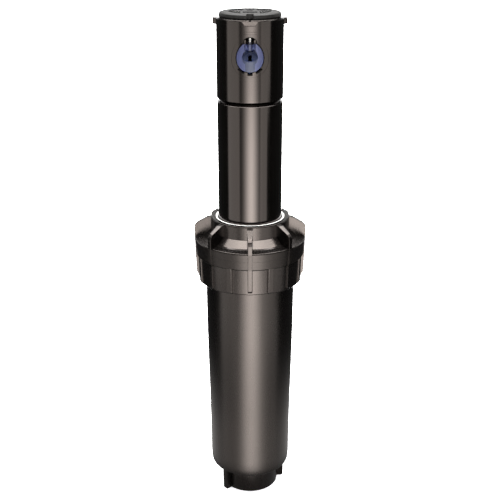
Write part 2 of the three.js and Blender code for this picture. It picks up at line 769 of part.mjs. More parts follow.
// ---- bypass valve: lets surplus water past the turbine ----
const bypassBody = body("bypass");
const STEM_FOOT_Z = 142.4;
place(
  bypassBody,
  "bypass_valve",
  union([
    disc(3.1, FLAP_Z, FLAP_Z + 1, 14),
    disc(0.8, STEM_FOOT_Z, FLAP_Z + 0.5, 10),
    disc(2.2, STEM_FOOT_Z, STEM_FOOT_Z + 0.9, 12),
  ]),
  materials.gear,
  [VALVE_X, 0, 0],
);
place(
  bypassBody,
  "bypass_spring",
  coil(1.55, 0.25, 4, STEM_FOOT_Z + 0.9 + GAP, STATOR_Z - GAP, 8, 4),
  materials.steel,
  [VALVE_X, 0, 0],
);

export default sprinkler;
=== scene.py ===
import math

import bpy
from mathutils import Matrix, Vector


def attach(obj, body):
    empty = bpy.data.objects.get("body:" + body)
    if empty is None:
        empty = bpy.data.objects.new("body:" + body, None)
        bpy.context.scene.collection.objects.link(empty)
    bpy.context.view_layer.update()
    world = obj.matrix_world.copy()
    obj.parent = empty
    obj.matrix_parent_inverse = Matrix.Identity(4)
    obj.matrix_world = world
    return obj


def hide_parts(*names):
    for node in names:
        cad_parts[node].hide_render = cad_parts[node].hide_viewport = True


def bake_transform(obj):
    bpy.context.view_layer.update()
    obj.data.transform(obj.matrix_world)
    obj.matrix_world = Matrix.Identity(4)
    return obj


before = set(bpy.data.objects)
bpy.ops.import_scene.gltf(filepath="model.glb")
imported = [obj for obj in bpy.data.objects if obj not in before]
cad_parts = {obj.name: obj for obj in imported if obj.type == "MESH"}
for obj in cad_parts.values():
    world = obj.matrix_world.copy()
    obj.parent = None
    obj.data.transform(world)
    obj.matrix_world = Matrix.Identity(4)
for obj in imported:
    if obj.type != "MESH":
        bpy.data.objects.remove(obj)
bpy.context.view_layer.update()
mm = 0.001


# helpers for edit mode; lengths are in millimetres, except in materials

def toObject():
    bpy.ops.object.mode_set(mode="OBJECT")


def only(piece):
    # the piece alone is selected and active
    bpy.ops.object.select_all(action="DESELECT")
    piece.select_set(True)
    bpy.context.view_layer.objects.active = piece


def toEdit(piece):
    only(piece)
    bpy.ops.object.mode_set(mode="EDIT")


def newPiece(name):
    piece = bpy.context.object
    piece.name = name
    piece.data.name = name
    return piece


def settle(piece):
    # the place goes into the mesh, and the object stays at the origin
    if bpy.context.mode != "OBJECT":
        toObject()
    only(piece)
    bpy.ops.object.transform_apply(location=True, rotation=True, scale=True)
    return piece


def pick(piece, test, kind="FACE"):
    # selects the faces or points whose middle and normal pass the test, and stays in edit mode
    toEdit(piece)
    bpy.ops.mesh.select_mode(type=kind)
    bpy.ops.mesh.select_all(action="DESELECT")
    toObject()
    if kind == "FACE":
        for face in piece.data.polygons:
            face.select = test(face.center / mm, face.normal)
    else:
        for point in piece.data.vertices:
            point.select = test(point.co / mm, point.normal)
    bpy.ops.object.mode_set(mode="EDIT")


def rounded(points, steps=3):
    # a point given as (a, b, radius) becomes an arc that touches both its neighbours' lines
    out = []
    for i, point in enumerate(points):
        here = Vector(point[:2])
        if len(point) == 2:
            out.append(here)
            continue
        before = Vector(points[i - 1][:2]) - here
        after = Vector(points[(i + 1) % len(points)][:2]) - here
        half = before.angle(after) / 2
        reach = min(point[2] / math.tan(half), before.length * 0.49, after.length * 0.49)
        start, end = here + before.normalized() * reach, here + after.normalized() * reach
        for k in range(steps + 1):
            t = k / steps
            out.append(start * (1 - t) ** 2 + here * 2 * t * (1 - t) + end * t * t)
    return [tuple(p) for p in out]


def line(name, points, across="XZ", at=0.0):
    # a plane merged to one point, then pushed from point to point
    def place(p):
        return Vector((p[0], at, p[1]) if across == "XZ" else (p[0], p[1], at)) * mm
    first = place(points[0])
    bpy.ops.mesh.primitive_plane_add(size=mm, location=first)
    piece = newPiece(name)
    bpy.ops.object.mode_set(mode="EDIT")
    bpy.ops.mesh.select_mode(type="VERT")
    bpy.ops.mesh.select_all(action="SELECT")
    bpy.ops.mesh.merge(type="CENTER")
    for a, b in zip(points, points[1:]):
        move = {"value": place(b) - place(a)}
        bpy.ops.mesh.extrude_region_move(TRANSFORM_OT_translate=move)
    return piece


def outward():
    bpy.ops.mesh.select_all(action="SELECT")
    bpy.ops.mesh.remove_doubles(threshold=0.002 * mm)
    bpy.ops.mesh.normals_make_consistent(inside=False)


def turned(name, points, steps=160, closed=True):
    # a profile of (radius, height) turned round the middle line
    profile = rounded(points)
    if closed:
        profile.append(profile[0])
    piece = line(name, profile)
    bpy.ops.mesh.select_all(action="SELECT")
    bpy.ops.mesh.spin(steps=steps, angle=2 * math.pi, center=(0, 0, 0), axis=(0, 0, 1))
    outward()
    return smoothed(settle(piece))


def plate(name, points, thick, across="XZ", base=None, soften=0.0, segments=2):
    # an outline filled and pushed out to a plate; it stands on the middle plane or on its base
    start = -thick / 2 if base is None else base
    piece = line(name, rounded(points), across, start)
    bpy.ops.mesh.select_all(action="SELECT")
    bpy.ops.mesh.edge_face_add()
    bpy.ops.mesh.select_all(action="SELECT")
    way = Vector((0, thick, 0) if across == "XZ" else (0, 0, thick)) * mm
    bpy.ops.mesh.extrude_region_move(TRANSFORM_OT_translate={"value": way})
    outward()
    settle(piece)
    if soften:
        bevelled(piece, soften, segments)
    return piece


def rod(name, radius, low, high, sides=64, at=(0, 0), tip=0.0):
    # an upright bar, with its top ring drawn in by tip
    bpy.ops.mesh.primitive_cylinder_add(
        vertices=sides, radius=radius * mm, depth=(high - low) * mm,
        location=(at[0] * mm, at[1] * mm, (low + high) / 2 * mm))
    piece = settle(newPiece(name))
    if tip:
        pick(piece, lambda c, n: n.z > 0.9)
        bpy.ops.transform.resize(value=((radius - tip) / radius,) * 2 + (1,))
        toObject()
    return piece


def apply(piece, kind, **settings):
    # adds a modifier and applies it at once
    only(piece)
    modifier = piece.modifiers.new(kind.title(), kind)
    for name, value in settings.items():
        setattr(modifier, name, value)
    bpy.ops.object.modifier_apply(modifier=modifier.name)
    return piece


def bevelled(piece, width, segments=2, angle=35):
    return apply(piece, "BEVEL", width=width * mm, segments=segments, limit_method="ANGLE",
                 angle_limit=math.radians(angle), use_clamp_overlap=True)


def smoothed(piece, angle=30):
    only(piece)
    bpy.ops.object.shade_smooth_by_angle(angle=math.radians(angle))
    return piece


def combine(piece, others, how="UNION", tangled=False):
    # tangled tools cross themselves, which is slower to work out
    for other in others:
        apply(piece, "BOOLEAN", object=other, operation=how, solver="EXACT", use_self=tangled)
        bpy.data.objects.remove(other)
    return piece


def carve(piece, others):
    return combine(piece, others, "DIFFERENCE")


def copyTurned(piece, degrees, name):
    # a copy with its own mesh, turned about the middle line
    twin = piece.copy()
    twin.data = piece.data.copy()
    twin.name = name
    bpy.context.collection.objects.link(twin)
    twin.rotation_euler = (0, 0, math.radians(degrees))
    return settle(twin)


def ringOf(piece, angles):
    copies = [copyTurned(piece, angle, f"{piece.name}{i}") for i, angle in enumerate(angles)]
    bpy.data.objects.remove(piece)
    return copies


def joined(pieces):
    bpy.ops.object.select_all(action="DESELECT")
    for piece in pieces:
        piece.select_set(True)
    bpy.context.view_layer.objects.active = pieces[0]
    bpy.ops.object.join()
    return pieces[0]


def moved(piece, shift=(0, 0, 0), tilt=0.0, turn=0.0):
    # tilt is about X and turn about Z, both before the shift
    piece.rotation_euler = (math.radians(tilt), 0, math.radians(turn))
    piece.location = Vector(shift) * mm
    return settle(piece)


def finished(piece, body, slotName, *nodes, smooth=32):
    # one clean closed surface, shaded, riding on its body in place of its plain nodes
    toEdit(piece)
    bpy.ops.mesh.select_all(action="SELECT")
    bpy.ops.mesh.remove_doubles(threshold=0.0005 * mm)
    bpy.ops.mesh.dissolve_degenerate(threshold=0.0005 * mm)
    toObject()
    smoothed(piece, smooth)
    if body:
        apply(piece, "WEIGHTED_NORMAL", keep_sharp=True)  # flat beside small fillets
        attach(piece, body)
    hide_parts(*nodes)
    print(piece.name, len(piece.data.polygons), "faces")
    return piece


def arcPoints(radius, start, end, steps):
    # points on a circle in plan, with angles in degrees from the front, turning to +X
    angles = [math.radians(start + (end - start) * i / steps) for i in range(steps + 1)]
    return [(radius * math.sin(a), -radius * math.cos(a)) for a in angles]


# the buried case
case = {
    "wall": 2.2, "bossR": 17, "floorZ": 15, "topZ": 161.5,
    "outline": [(24.1, 20), (24.12, 25), (24.33, 47), (24.55, 62), (24.9, 77), (25.22, 93),
                (25.43, 107), (25.56, 121), (25.6, 131), (25.6, 137.5, 0.4)],
    "socketMouthR": 12.7, "socketEndR": 12.1, "threadDepth": 0.55, "threadPitch": 1.81,
    "finAngles": (-138, 6, 78, 150), "finThick": 3,
    "splineR": 21.05, "splineAngles": (45, 135, 225, 315), "seamAngles": (0, 180),
}


def socketThread():
    # ridges of the pipe socket from its end down to its mouth
    turns = int((case["floorZ"] - 2) / case["threadPitch"])
    points = []
    for i in range(turns):
        z = case["floorZ"] - 1 - i * case["threadPitch"]
        share = (case["floorZ"] - z) / case["floorZ"]
        radius = case["socketEndR"] + (case["socketMouthR"] - case["socketEndR"]) * share
        points += [(radius, z), (radius + case["threadDepth"], z - case["threadPitch"] / 2)]
    return points


def makeCase():
    outline, wall, floorZ = case["outline"], case["wall"], case["floorZ"]
    inside = [(point[0] - wall, point[1]) for point in reversed(outline)]
    neck = [(24.5, 138.6), (24.5, 151.4), (25.4, 152.2, 0.2), (25.4, 153.4, 0.2), (24.5, 153.8),
            (24.5, case["topZ"] - 0.6), (24, case["topZ"]), (22.6, case["topZ"]), (22.6, 140)]
    shell = turned("case_shell", [
        (case["socketMouthR"] + 0.4, 0), (case["bossR"], 0, 0.5), (case["bossR"], floorZ, 0.25),
        (22.3, floorZ, 0.5), (22.5, floorZ + 0.75, 0.2), (23.6, floorZ + 1, 0.9), *outline, *neck, *inside,
        (21.4, floorZ + wall, 1.5), (14.2, floorZ + wall, 0.5), (case["socketEndR"], floorZ, 0.2),
        *socketThread(),
    ], steps=192)
    fin = plate("fin", [(15.5, 0.05), (20.2, 0.05, 0.6), (20.9, 0.9, 0.5), (21.3, floorZ + 1.2),
                        (15.5, floorZ + 1.2)], case["finThick"], soften=0.3)
    spline = plate("spline", [(case["splineR"], 17), (22.6, 17), (23.9, 128), (case["splineR"], 126)], 2)
    edge = [(point[0] + 0.06, point[1]) for point in outline[:-1]]
    seam = plate("seam", [(23.2, 21), (edge[0][0], 21.4), *edge[1:], (24.6, 131)], 0.35)
    fins = ringOf(fin, case["finAngles"])
    splines = ringOf(spline, case["splineAngles"])
    seams = ringOf(seam, case["seamAngles"])
    combine(shell, [joined(fins + splines + seams)])
    return finished(shell, "case", "housing_plastic", "case_body")


# the cap that screws on the case
cap = {
    "lowZ": 139, "rimZ": 176.5, "ledgeZ": 154.6, "wallR": 31.1, "shoulderR": 31.7,
    "ribThick": 2.35, "ribRootThick": 3.25, "ribRootR": 27.2,
    "pocketR": 28.5, "pocketSpan": (2.4, 19.9), "quarters": (0, 90, 180, 270),
}


def rib(name, edge):
    # a plate that is thicker at its root, so that its sides lean
    top = [(21.5, 175.95, 0.3), (24.4, 175.5, 0.8), (30.3, 172.2, 1.2), (31.7, 170.7, 1.2)]
    seat = [(26.4, 139.3), (26.4, 163.4), (21.5, 168.6)]
    piece = plate(name, [*reversed([*seat, *top, (32.05, 168.6, 0.4), *edge])], cap["ribThick"])
    pick(piece, lambda c, n: c.x < cap["ribRootR"], "VERT")
    bpy.ops.transform.resize(value=(1, cap["ribRootThick"] / cap["ribThick"], 1))
    toObject()
    return bevelled(piece, 0.22, 2, 40)


def makeCap():
    lowZ, rimZ, ledgeZ, wallR = cap["lowZ"], cap["rimZ"], cap["ledgeZ"], cap["wallR"]
    shell = turned("cap_shell", [
        (26.2, lowZ), (30, lowZ, 0.5), (30.6, ledgeZ - 0.6, 0.1), (wallR, ledgeZ, 0.2),
        (wallR + 0.25, 159.2), (wallR + 0.35, 159.32), (cap["shoulderR"], 163.5, 0.3),
        (cap["shoulderR"] - 0.3, 164.15, 0.35), (27.6, 164.75, 0.8), (26.4, 165.2, 0.5), (22.5, 168.8, 0.3),
        (22.4, 175.9, 0.15), (22.2, rimZ, 0.3),
        (19.8, rimZ, 0.2), (19.8, 174.6), (20.9, 174.6), (20.9, 167.4), (24.8, 164.2),
        (25.9, 161.5), (25.9, 150.4), (25, 149.8), (25, 148.6), (25.9, 147.8),
    ], steps=192)
    # finger pockets on both sides of each full rib
    near, far = cap["pocketSpan"]
    outline = arcPoints(33, near, far, 8) + arcPoints(cap["pocketR"], far, near, 8)
    tall = ledgeZ - 0.8 - (lowZ - 1)
    pocket = plate("pocket", outline, tall, "XY", lowZ - 1)
    twin = plate("pocket_twin", [(-x, y) for x, y in outline], tall, "XY", lowZ - 1)
    quarters = cap["quarters"]
    carve(shell, [joined(ringOf(pocket, quarters) + ringOf(twin, quarters))])
    full = rib("rib_full", [(31.75, 155), (31.05, 141.6, 0.8), (30.3, 140.6, 0.5), (28, 139.35)])
    stepped = rib("rib_stepped", [(31.75, 155.2, 0.6), (31.2, 153, 0.5), (30.8, 140.2, 0.4), (28, 139.35)])
    short = plate("rib_short", [(26.6, 139.3), (30.3, 139.3, 0.3), (30.7, 140.1, 0.4), (31.05, 155),
                                (26.6, 155)], 3.2, soften=0.25)
    combine(shell, [
        joined(ringOf(full, quarters) + ringOf(stepped, [a + 45 for a in quarters])),
        joined(ringOf(short, [22.5 + 45 * i for i in range(8)])),
    ])
    return finished(shell, "case", "housing_plastic", "body_cap")


def makeRimRing():
    ring = turned("rim_ring", [(18.5, 175.1, 0.1), (19.5, 174.95, 0.1), (19.5, 176.3, 0.15),
                               (19.1, 176.42, 0.15), (18.5, 175.95, 0.2)])
    return finished(ring, "case", "pale_plastic", "seal_ring")


def makeWiper():
    wiper = turned("riser_wiper", [
        (18.9, 162.2, 0.2), (24.2, 162.2, 0.2), (24.2, 163.6, 0.3), (20.6, 166.9, 0.4), (20.6, 174.3, 0.2),
        (18.35, 174.6, 0.15), (18.35, 173.6, 0.2), (19.4, 172.4, 0.4), (19.4, 166, 0.3), (18.9, 165.2, 0.2)])
    return finished(wiper, "case", "rubber", "wiper_seal")


# the spring that pulls the riser back
spring = {"coilR": 19.95, "wireR": 0.8, "turns": 9, "lowZ": 136.3, "highZ": 161.9}


def makeSpring():
    rise = spring["highZ"] - spring["lowZ"] - 2 * spring["wireR"]
    bpy.ops.mesh.primitive_circle_add(
        vertices=14, radius=spring["wireR"] * mm, fill_type="NGON", rotation=(math.pi / 2, 0, 0),
        location=(spring["coilR"] * mm, 0, (spring["lowZ"] + spring["wireR"]) * mm))
    piece = settle(newPiece("pull_back_spring"))
    toEdit(piece)
    bpy.ops.mesh.select_all(action="SELECT")
    bpy.ops.mesh.delete(type="ONLY_FACE")
    toObject()
    apply(piece, "SCREW", axis="Z", screw_offset=rise / spring["turns"] * mm, iterations=spring["turns"],
          steps=48, render_steps=48, use_merge_vertices=True)
    toEdit(piece)
    bpy.ops.mesh.select_mode(type="EDGE")
    bpy.ops.mesh.select_all(action="DESELECT")
    bpy.ops.mesh.select_non_manifold()
    bpy.ops.mesh.fill_holes(sides=0)
    bpy.ops.mesh.edge_face_add()
    outward()
    toObject()
    finished(piece, None, "steel", "retraction_spring", smooth=50)
    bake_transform(piece)
    return piece


# the riser
riser = {"radius": 18, "bore": 16.3, "topZ": 242.2, "flangeR": 21.5, "flangeZ": 132.5, "flangeTopZ": 136,
         "collarR": 17.4, "collarZ": 243.9, "neckR": 15.8, "bearingR": 10.4, "notchR": 20.7}


def makeRiser():
    top, bore, radius, bearingR = riser["topZ"], riser["bore"], riser["radius"], riser["bearingR"]
    flangeR, flangeZ, flangeTopZ = riser["flangeR"], riser["flangeZ"], riser["flangeTopZ"]
    collarR, collarZ, neckR = riser["collarR"], riser["collarZ"], riser["neckR"]
    tube = turned("riser_pipe", [
        (bore, flangeZ, 0.2), (flangeR, flangeZ, 0.4), (flangeR, flangeTopZ, 0.4), (radius, flangeTopZ, 0.5),
        (radius, top, 0.45), (collarR, top), (collarR - 1, (top + collarZ) / 2), (collarR, collarZ),
        (neckR, collarZ), (neckR, top + 3, 0.2), (neckR - 1.2, top + 3, 0.2), (neckR - 1.2, top - 0.6),
        (bearingR, top - 0.6, 0.2), (bearingR, top - 3, 0.2), (bore, top - 4),
    ], steps=192)
    # notches in the flange run on the case's splines
    inner = riser["notchR"]
    notch = plate("notch", [(inner, 130), (24, 130), (24, 138), (inner, 138)], 2.8, soften=0.3)
    carve(tube, [joined(ringOf(notch, case["splineAngles"]))])
    return finished(tube, "riser", "housing_plastic", "riser_tube")


# the turret
turret = {
    "radius": 18.2, "wall": 2, "bottomZ": 244.2, "deckZ": 286.9, "deckThick": 2,
    "lugX": 18.55, "lugSize": (2.9, 5, 3.5), "lugZ": 284.95,
    "nozzleZ": 268.5, "nozzleTilt": 25, "boreR": 7.5, "ringR": 9.65,
    "screwY": -15.4, "archHalf": 3.6, "archTopZ": 278.7, "archRise": 2,
    "slotInnerR": 7.3, "slotOuterR": 8.5, "footSlotHalf": 1.37, "footSlotR": 8.8,
    "sideSlotSpan": (22.6, 51), "adjusterAt": (7.778, 7.778), "beadHeights": (279.7, 281), "beadHalf": 11,
    "grooveX": 5, "grooveR": 3.2, "grooveDeep": 0.4, "grooveAimR": 17.5,
}


def onNozzle(piece):
    # from a frame along +Z to the nozzle's own slanted place on the turret's front
    return moved(piece, (0, -turret["radius"], turret["nozzleZ"]), tilt=90 - turret["nozzleTilt"])


def arcSlot(name, start, end, inner, outer, low, high):
    # a curved bar in the nozzle's frame; angles are from straight down
    def ring(radius, a, b):
        angles = [math.radians(a + (b - a) * i / 12) for i in range(13)]
        return [(radius * math.sin(t), -radius * math.cos(t)) for t in angles]
    return plate(name, ring(outer, start, end) + ring(inner, end, start), high - low, "XY", low)


def archTool():
    half, top, rise = turret["archHalf"], turret["archTopZ"], turret["archRise"]
    radius = (half ** 2 + rise ** 2) / (2 * rise)
    reach = math.asin(half / radius)
    arch = [(radius * math.sin(a), top - radius + radius * math.cos(a))
            for a in [reach * (1 - i / 6) for i in range(13)]]
    return plate("arch", [(half, 268), *arch, (-half, 268)], 6.6, base=-20.2)


def turretCuts():
    screwY, deckZ = turret["screwY"], turret["deckZ"]
    trapezoid = [(-4.3, 286.2), (-2.8, 284), (2.8, 284), (4.3, 286.2)]
    cuts = [
        onNozzle(rod("bore", turret["boreR"], -6, 6, 96)),
        archTool(),
        rod("screwHole", 1.8, 270, deckZ + 1, 32, (0, screwY)),
        rod("adjusterHole", 2.5, 280, deckZ + 1, 40, turret["adjusterAt"]),
        plate("trapezoid", trapezoid, 2.5, base=-20, soften=0.15),
    ]
    low, high = turret["slotInnerR"], turret["slotOuterR"]
    start, end = turret["sideSlotSpan"]
    for side in (1, -1):
        cuts.append(onNozzle(arcSlot("sideSlot", start * side, end * side, low, high, -5.4, 6)))
    half = turret["footSlotHalf"]
    foot = [(-half, -turret["footSlotR"]), (half, -turret["footSlotR"]), (half, -low), (-half, -low)]
    cuts.append(onNozzle(plate("footSlot", foot, 11.6, "XY", -5.6)))
    # a fine circle round the nozzle, cut only skin deep and only at the front
    inner, outer = turret["ringR"] - 0.09, turret["ringR"] + 0.09
    ring = onNozzle(turned("ring", [(inner, -8), (outer, -8), (outer, 6), (inner, 6)]))
    deep, clear = turret["radius"] - 0.1, turret["radius"] + 3
    shellSkin = turned("skin", [(deep, 240), (clear, 240), (clear, 290), (deep, 290)])
    combine(ring, [shellSkin], "INTERSECT")
    pick(ring, lambda c, n: c.y > 0)
    bpy.ops.mesh.delete(type="FACE")
    toObject()
    cuts.append(ring)
    return cuts


def makeTurret():
    radius, low, deckZ = turret["radius"], turret["bottomZ"], turret["deckZ"]
    inner = radius - turret["wall"]
    under = deckZ - turret["deckThick"]
    shell = turned("turret_body", [
        (0, under), (inner, under, 0.5), (inner, low, 0.3), (radius, low, 0.5),
        (radius, deckZ - 0.55, 0.15), (radius - 0.15, deckZ - 0.35, 0.1), (radius - 0.3, deckZ, 0.25),
        (0, deckZ),
    ], steps=224, closed=False)
    width, depth, height = turret["lugSize"]
    lean = depth / 2 - 0.3
    base = turret["lugZ"] - height / 2
    lugs = []
    for side in (1, -1):
        x0, x1 = (turret["lugX"] - width / 2) * side, (turret["lugX"] + width / 2) * side
        outline = [(x0, -depth / 2), (x1, -lean / 4, 1.0), (x1, lean, 1.0), (x0, depth / 2)]
        lugs.append(plate("lug", outline, height, "XY", base, soften=0.35, segments=3))
    bump = rod("bump", 0.75, deckZ - 0.6, deckZ + 0.25, 24, (0, 0.55 - radius), 0.3)
    half = turret["beadHalf"]
    arc = arcPoints(radius + 0.07, -half, half, 16) + arcPoints(radius - 0.4, half, -half, 16)
    beads = [plate(f"bead{i}", arc, 0.22, "XY", z, soften=0.06)
             for i, z in enumerate(turret["beadHeights"])]
    combine(shell, [joined(lugs), bump, *beads])
    # shallow upright flutes on both sides of the nozzle
    grooves = []
    for side in (1, -1):
        across = turret["grooveX"] * side
        out = math.sqrt(radius ** 2 - across ** 2) + turret["grooveR"] - turret["grooveDeep"]
        at = (across * out / turret["grooveAimR"], -out)
        grooves.append(rod("groove", turret["grooveR"], 262, 283.4, 48, at, 0.9))
    carve(shell, grooves + turretCuts())
    return finished(shell, "turret", "housing_plastic", "turret_shell")


# the nozzle and its screw
nozzle = {
    "radius": 7.05, "sink": 0.45, "discR": 4.1, "discDeep": 1.5, "neckHalf": 2.55, "neckDeep": 0.9,
    "slitX": 2.45, "slitWide": 0.42, "slitZ": -0.6, "stepZ": 1.1,
    "orificeWide": 1.9, "orificeTall": 3.3, "screwLowZ": 270.5,
}


def makeNozzle():
    # built along +Z with its face up, then laid on the nozzle's line; -Y is down on the face
    radius = nozzle["radius"]
    plug = turned("nozzle_plug", [(0, -16.4), (radius - 1.4, -16.4, 0.4), (radius - 0.2, -15, 0.4),
                                  (radius, -5.5), (radius, 5.6), (0, 5.6)], steps=128, closed=False)
    onNozzle(plug)
    skin = turned("skin", [(0, 240), (turret["radius"] - nozzle["sink"], 240),
                           (turret["radius"] - nozzle["sink"], 290), (0, 290)], steps=224, closed=False)
    throat = turned("throat", [(0, -18), (4.6, -18), (3, -6), (0, -6)], steps=64, closed=False)
    half, tall = nozzle["orificeWide"] / 2, nozzle["orificeTall"] / 2
    slot = [(-half, -tall, 0.3), (half, -tall, 0.3), (half, tall, 0.3), (-half, tall, 0.3)]
    orifice = plate("orifice", slot, 12, "XY", -9)
    disc = turned("disc", [(0, -nozzle["discDeep"]), (nozzle["discR"] - 0.5, -nozzle["discDeep"], 0.3),
                           (nozzle["discR"], -nozzle["discDeep"] + 0.5), (nozzle["discR"], 9), (0, 9)],
                  steps=96, closed=False)
    neck = nozzle["neckHalf"]
    neckCut = plate("neck", [(-neck, -9), (neck, -9), (neck, -2.6), (-neck, -2.6)], 9, "XY",
                    -nozzle["neckDeep"], soften=0.15)
    # a shallow step between two deep slits
    near, far = nozzle["slitX"], nozzle["slitX"] + nozzle["slitWide"]
    slitZ, stepZ = nozzle["slitZ"], nozzle["stepZ"]
    channel = plate("channel", [(-far, 9), (-far, slitZ), (-near, slitZ), (-near, stepZ), (near, stepZ),
                                (near, slitZ), (far, slitZ), (far, 9)], 6.1, base=2.9)
    for tool in (throat, orifice, disc, neckCut, channel):
        onNozzle(tool)
    combine(plug, [skin], "INTERSECT")
    carve(plug, [channel, neckCut, disc, throat, orifice])
    carve(plug, [rod("screwRoom", 2, nozzle["screwLowZ"], 290, 32, (0, turret["screwY"] - 0.4))])
    return finished(plug, "turret", "nozzle_plastic", "nozzle")


screw = {"tipZ": 275.2, "radius": 1.4, "rootR": 1.15, "turns": 9, "pitch": 0.7}


def makeScrew():
    tipZ, topZ = screw["tipZ"], turret["deckZ"] - 0.2
    radius, rootR, pitch = screw["radius"], screw["rootR"], screw["pitch"]
    outline = [(0, tipZ - 0.8), (0.9, tipZ - 0.1, 0.2), (rootR, tipZ + 0.5)]
    for i in range(screw["turns"]):
        z = tipZ + 0.8 + i * pitch
        outline += [(radius, z), (rootR, z + pitch / 2)]
    outline += [(radius, tipZ + 0.8 + screw["turns"] * pitch, 0.1), (radius, topZ, 0.2), (0, topZ)]
    piece = turned("stream_screw", outline, steps=48, closed=False)
    moved(piece, (0, turret["screwY"], 0))
    carve(piece, [rod("key", 0.75, topZ - 2.6, topZ + 1, 6, (0, turret["screwY"]))])
    return finished(piece, "nozzle_screw", "steel", "nozzle_screw", smooth=40)


# the rubber cover
cover = {"lowZ": 287.2, "topZ": 290, "radius": 16.75, "keyR": 1.9, "markThick": 0.75, "markDeep": 0.6,
         "tickR": 9.2, "tickStep": 12, "tickFreeHalf": 30, "barX": 5.4, "barPitch": 1.35, "barY": -2.6}


def box(left, front, right, back, corner=0.0):
    # an outline in plan, with its corners rounded if a radius is given
    tail = (corner,) if corner else ()
    return [(x, y, *tail) for x, y in ((left, front), (right, front), (right, back), (left, back))]


def mark(name, outline):
    # a plate that stands a little above the cover's deck
    return plate(name, outline, cover["markThick"], "XY", cover["topZ"] - cover["markDeep"], soften=0.1)


def coverTicks():
    # short bars round the deck, with the front left free
    ticks = []
    for i in range(360 // cover["tickStep"]):
        angle = cover["tickStep"] * i
        if cover["tickFreeHalf"] < abs((angle + 180) % 360 - 180):
            tick = mark("tick", box(-0.28, 0, 0.28, 1.5 + i % 3 * 0.35))
            x = cover["tickR"] * math.sin(math.radians(angle))
            y = -cover["tickR"] * math.cos(math.radians(angle))
            ticks.append(moved(tick, (x, y, 0), turn=angle + 180))
    return ticks


def coverMarks():
    # plain bars and a double arrow, as a guide to the key's two sockets
    top, barY = cover["topZ"], cover["barY"]
    marks = coverTicks()
    for side in (1, -1):
        for k in range(4):
            x = side * (cover["barX"] + k * cover["barPitch"])
            tall = 1.7 - (k % 2) * 0.6
            marks.append(mark("bar", box(x - 0.35, barY - tall, x + 0.35, barY + tall)))
        marks.append(mark("arrow", [(side * 4.2, 8.6), (side * 6.6, 7.0), (side * 4.2, 5.4)]))
    low = top - cover["markDeep"]
    collar = turned("frame", [(3.0, low), (3.7, low), (3.7, top + 0.1, 0.15), (3.0, top + 0.1, 0.15)],
                    steps=64)
    marks.append(moved(collar, (*turret["adjusterAt"], 0)))
    return marks


def makeCover():
    top, low, radius, key = cover["topZ"], cover["lowZ"], cover["radius"], cover["keyR"]
    pad = turned("cover_pad", [
        (0, low), (radius - 0.25, low, 0.3), (radius, low + 0.7, 0.3), (radius - 0.25, top - 0.75, 0.4),
        (15.7, top - 0.22, 0.5), (12.4, top, 0.6), (11.6, top - 0.1, 0.2), (11.2, top - 0.35),
        (0, top - 0.35),
    ], steps=160, closed=False)
    combine(pad, [joined(coverMarks())], tangled=True)
    carve(pad, [
        plate("liftSlot", box(-1.7, 4.3, 1.7, 8.1, 0.3), 4, "XY", top - 1.7),
        plate("recess", box(-3.8, -6.2, 3.8, -1.5, 0.4), 3, "XY", top - 1.1),
        rod("adjusterKey", key, 280, top + 1, 48, turret["adjusterAt"]),
        plate("screwKey", [(-key, -17.5), (key, -17.5), (key, -14.2, 1.2), (-key, -14.2, 1.2)],
              12, "XY", 280),
    ])
    return finished(pad, "turret", "rubber", "rubber_cover")


# materials: sums and products of values are written as Python

class Wire:
    def __init__(self, bench, socket):
        self.bench = bench
        self.socket = socket

    def maths(self, operation, *others):
        return self.bench.node("ShaderNodeMath", {"operation": operation}, self, *others)

    def __add__(self, other): return self.maths("ADD", other)
    def __mul__(self, other): return self.maths("MULTIPLY", other)
    def __sub__(self, other): return self.maths("SUBTRACT", other)
    def __truediv__(self, other): return self.maths("DIVIDE", other)
    def __pow__(self, other): return self.maths("POWER", other)
    def __lt__(self, other): return self.maths("LESS_THAN", other)
    __radd__ = __add__
    __rmul__ = __mul__

    def __rsub__(self, other):
        return self.bench.node("ShaderNodeMath", {"operation": "SUBTRACT"}, other, self)

    def within(self, low, high, toLow=0.0, toHigh=1.0, smooth=False):
        kind = {"interpolation_type": "SMOOTHSTEP" if smooth else "LINEAR"}
        return self.bench.node("ShaderNodeMapRange", kind, self, low, high, toLow, toHigh)


class Bench:
    def __init__(self, tree):
        self.tree = tree
        self.tree.nodes.clear()

    def node(self, kind, settings=None, *values, out=0, **named):
        # settings first, then the inputs in order or by name; gives the output as a wire
        node = self.tree.nodes.new(kind)
        for name, value in (settings or {}).items():
            if name == "stops":
                self.setStops(node.color_ramp, value)
            else:
                setattr(node, name, value)
        for key, value in [*enumerate(values), *((n.replace("_", " "), v) for n, v in named.items())]:
            if isinstance(value, Wire):
                self.tree.links.new(value.socket, node.inputs[key])
            elif value is not None:
                node.inputs[key].default_value = value
        return Wire(self, node.outputs[out]) if node.outputs else node

    def setStops(self, ramp, stops):
        for i, (place, value) in enumerate(stops):
            element = ramp.elements[i] if i < 2 else ramp.elements.new(place)
            element.position = place
            element.color = value if len(value) == 4 else (*value, 1)

    def mixColour(self, factor, a, b):
        node = self.tree.nodes.new("ShaderNodeMix")
        node.data_type = "RGBA"
        for index, value in ((0, factor), (6, a), (7, b)):
            if isinstance(value, Wire):
                self.tree.links.new(value.socket, node.inputs[index])
            else:
                node.inputs[index].default_value = value if index == 0 else (*value, 1)
        return Wire(self, node.outputs[2])


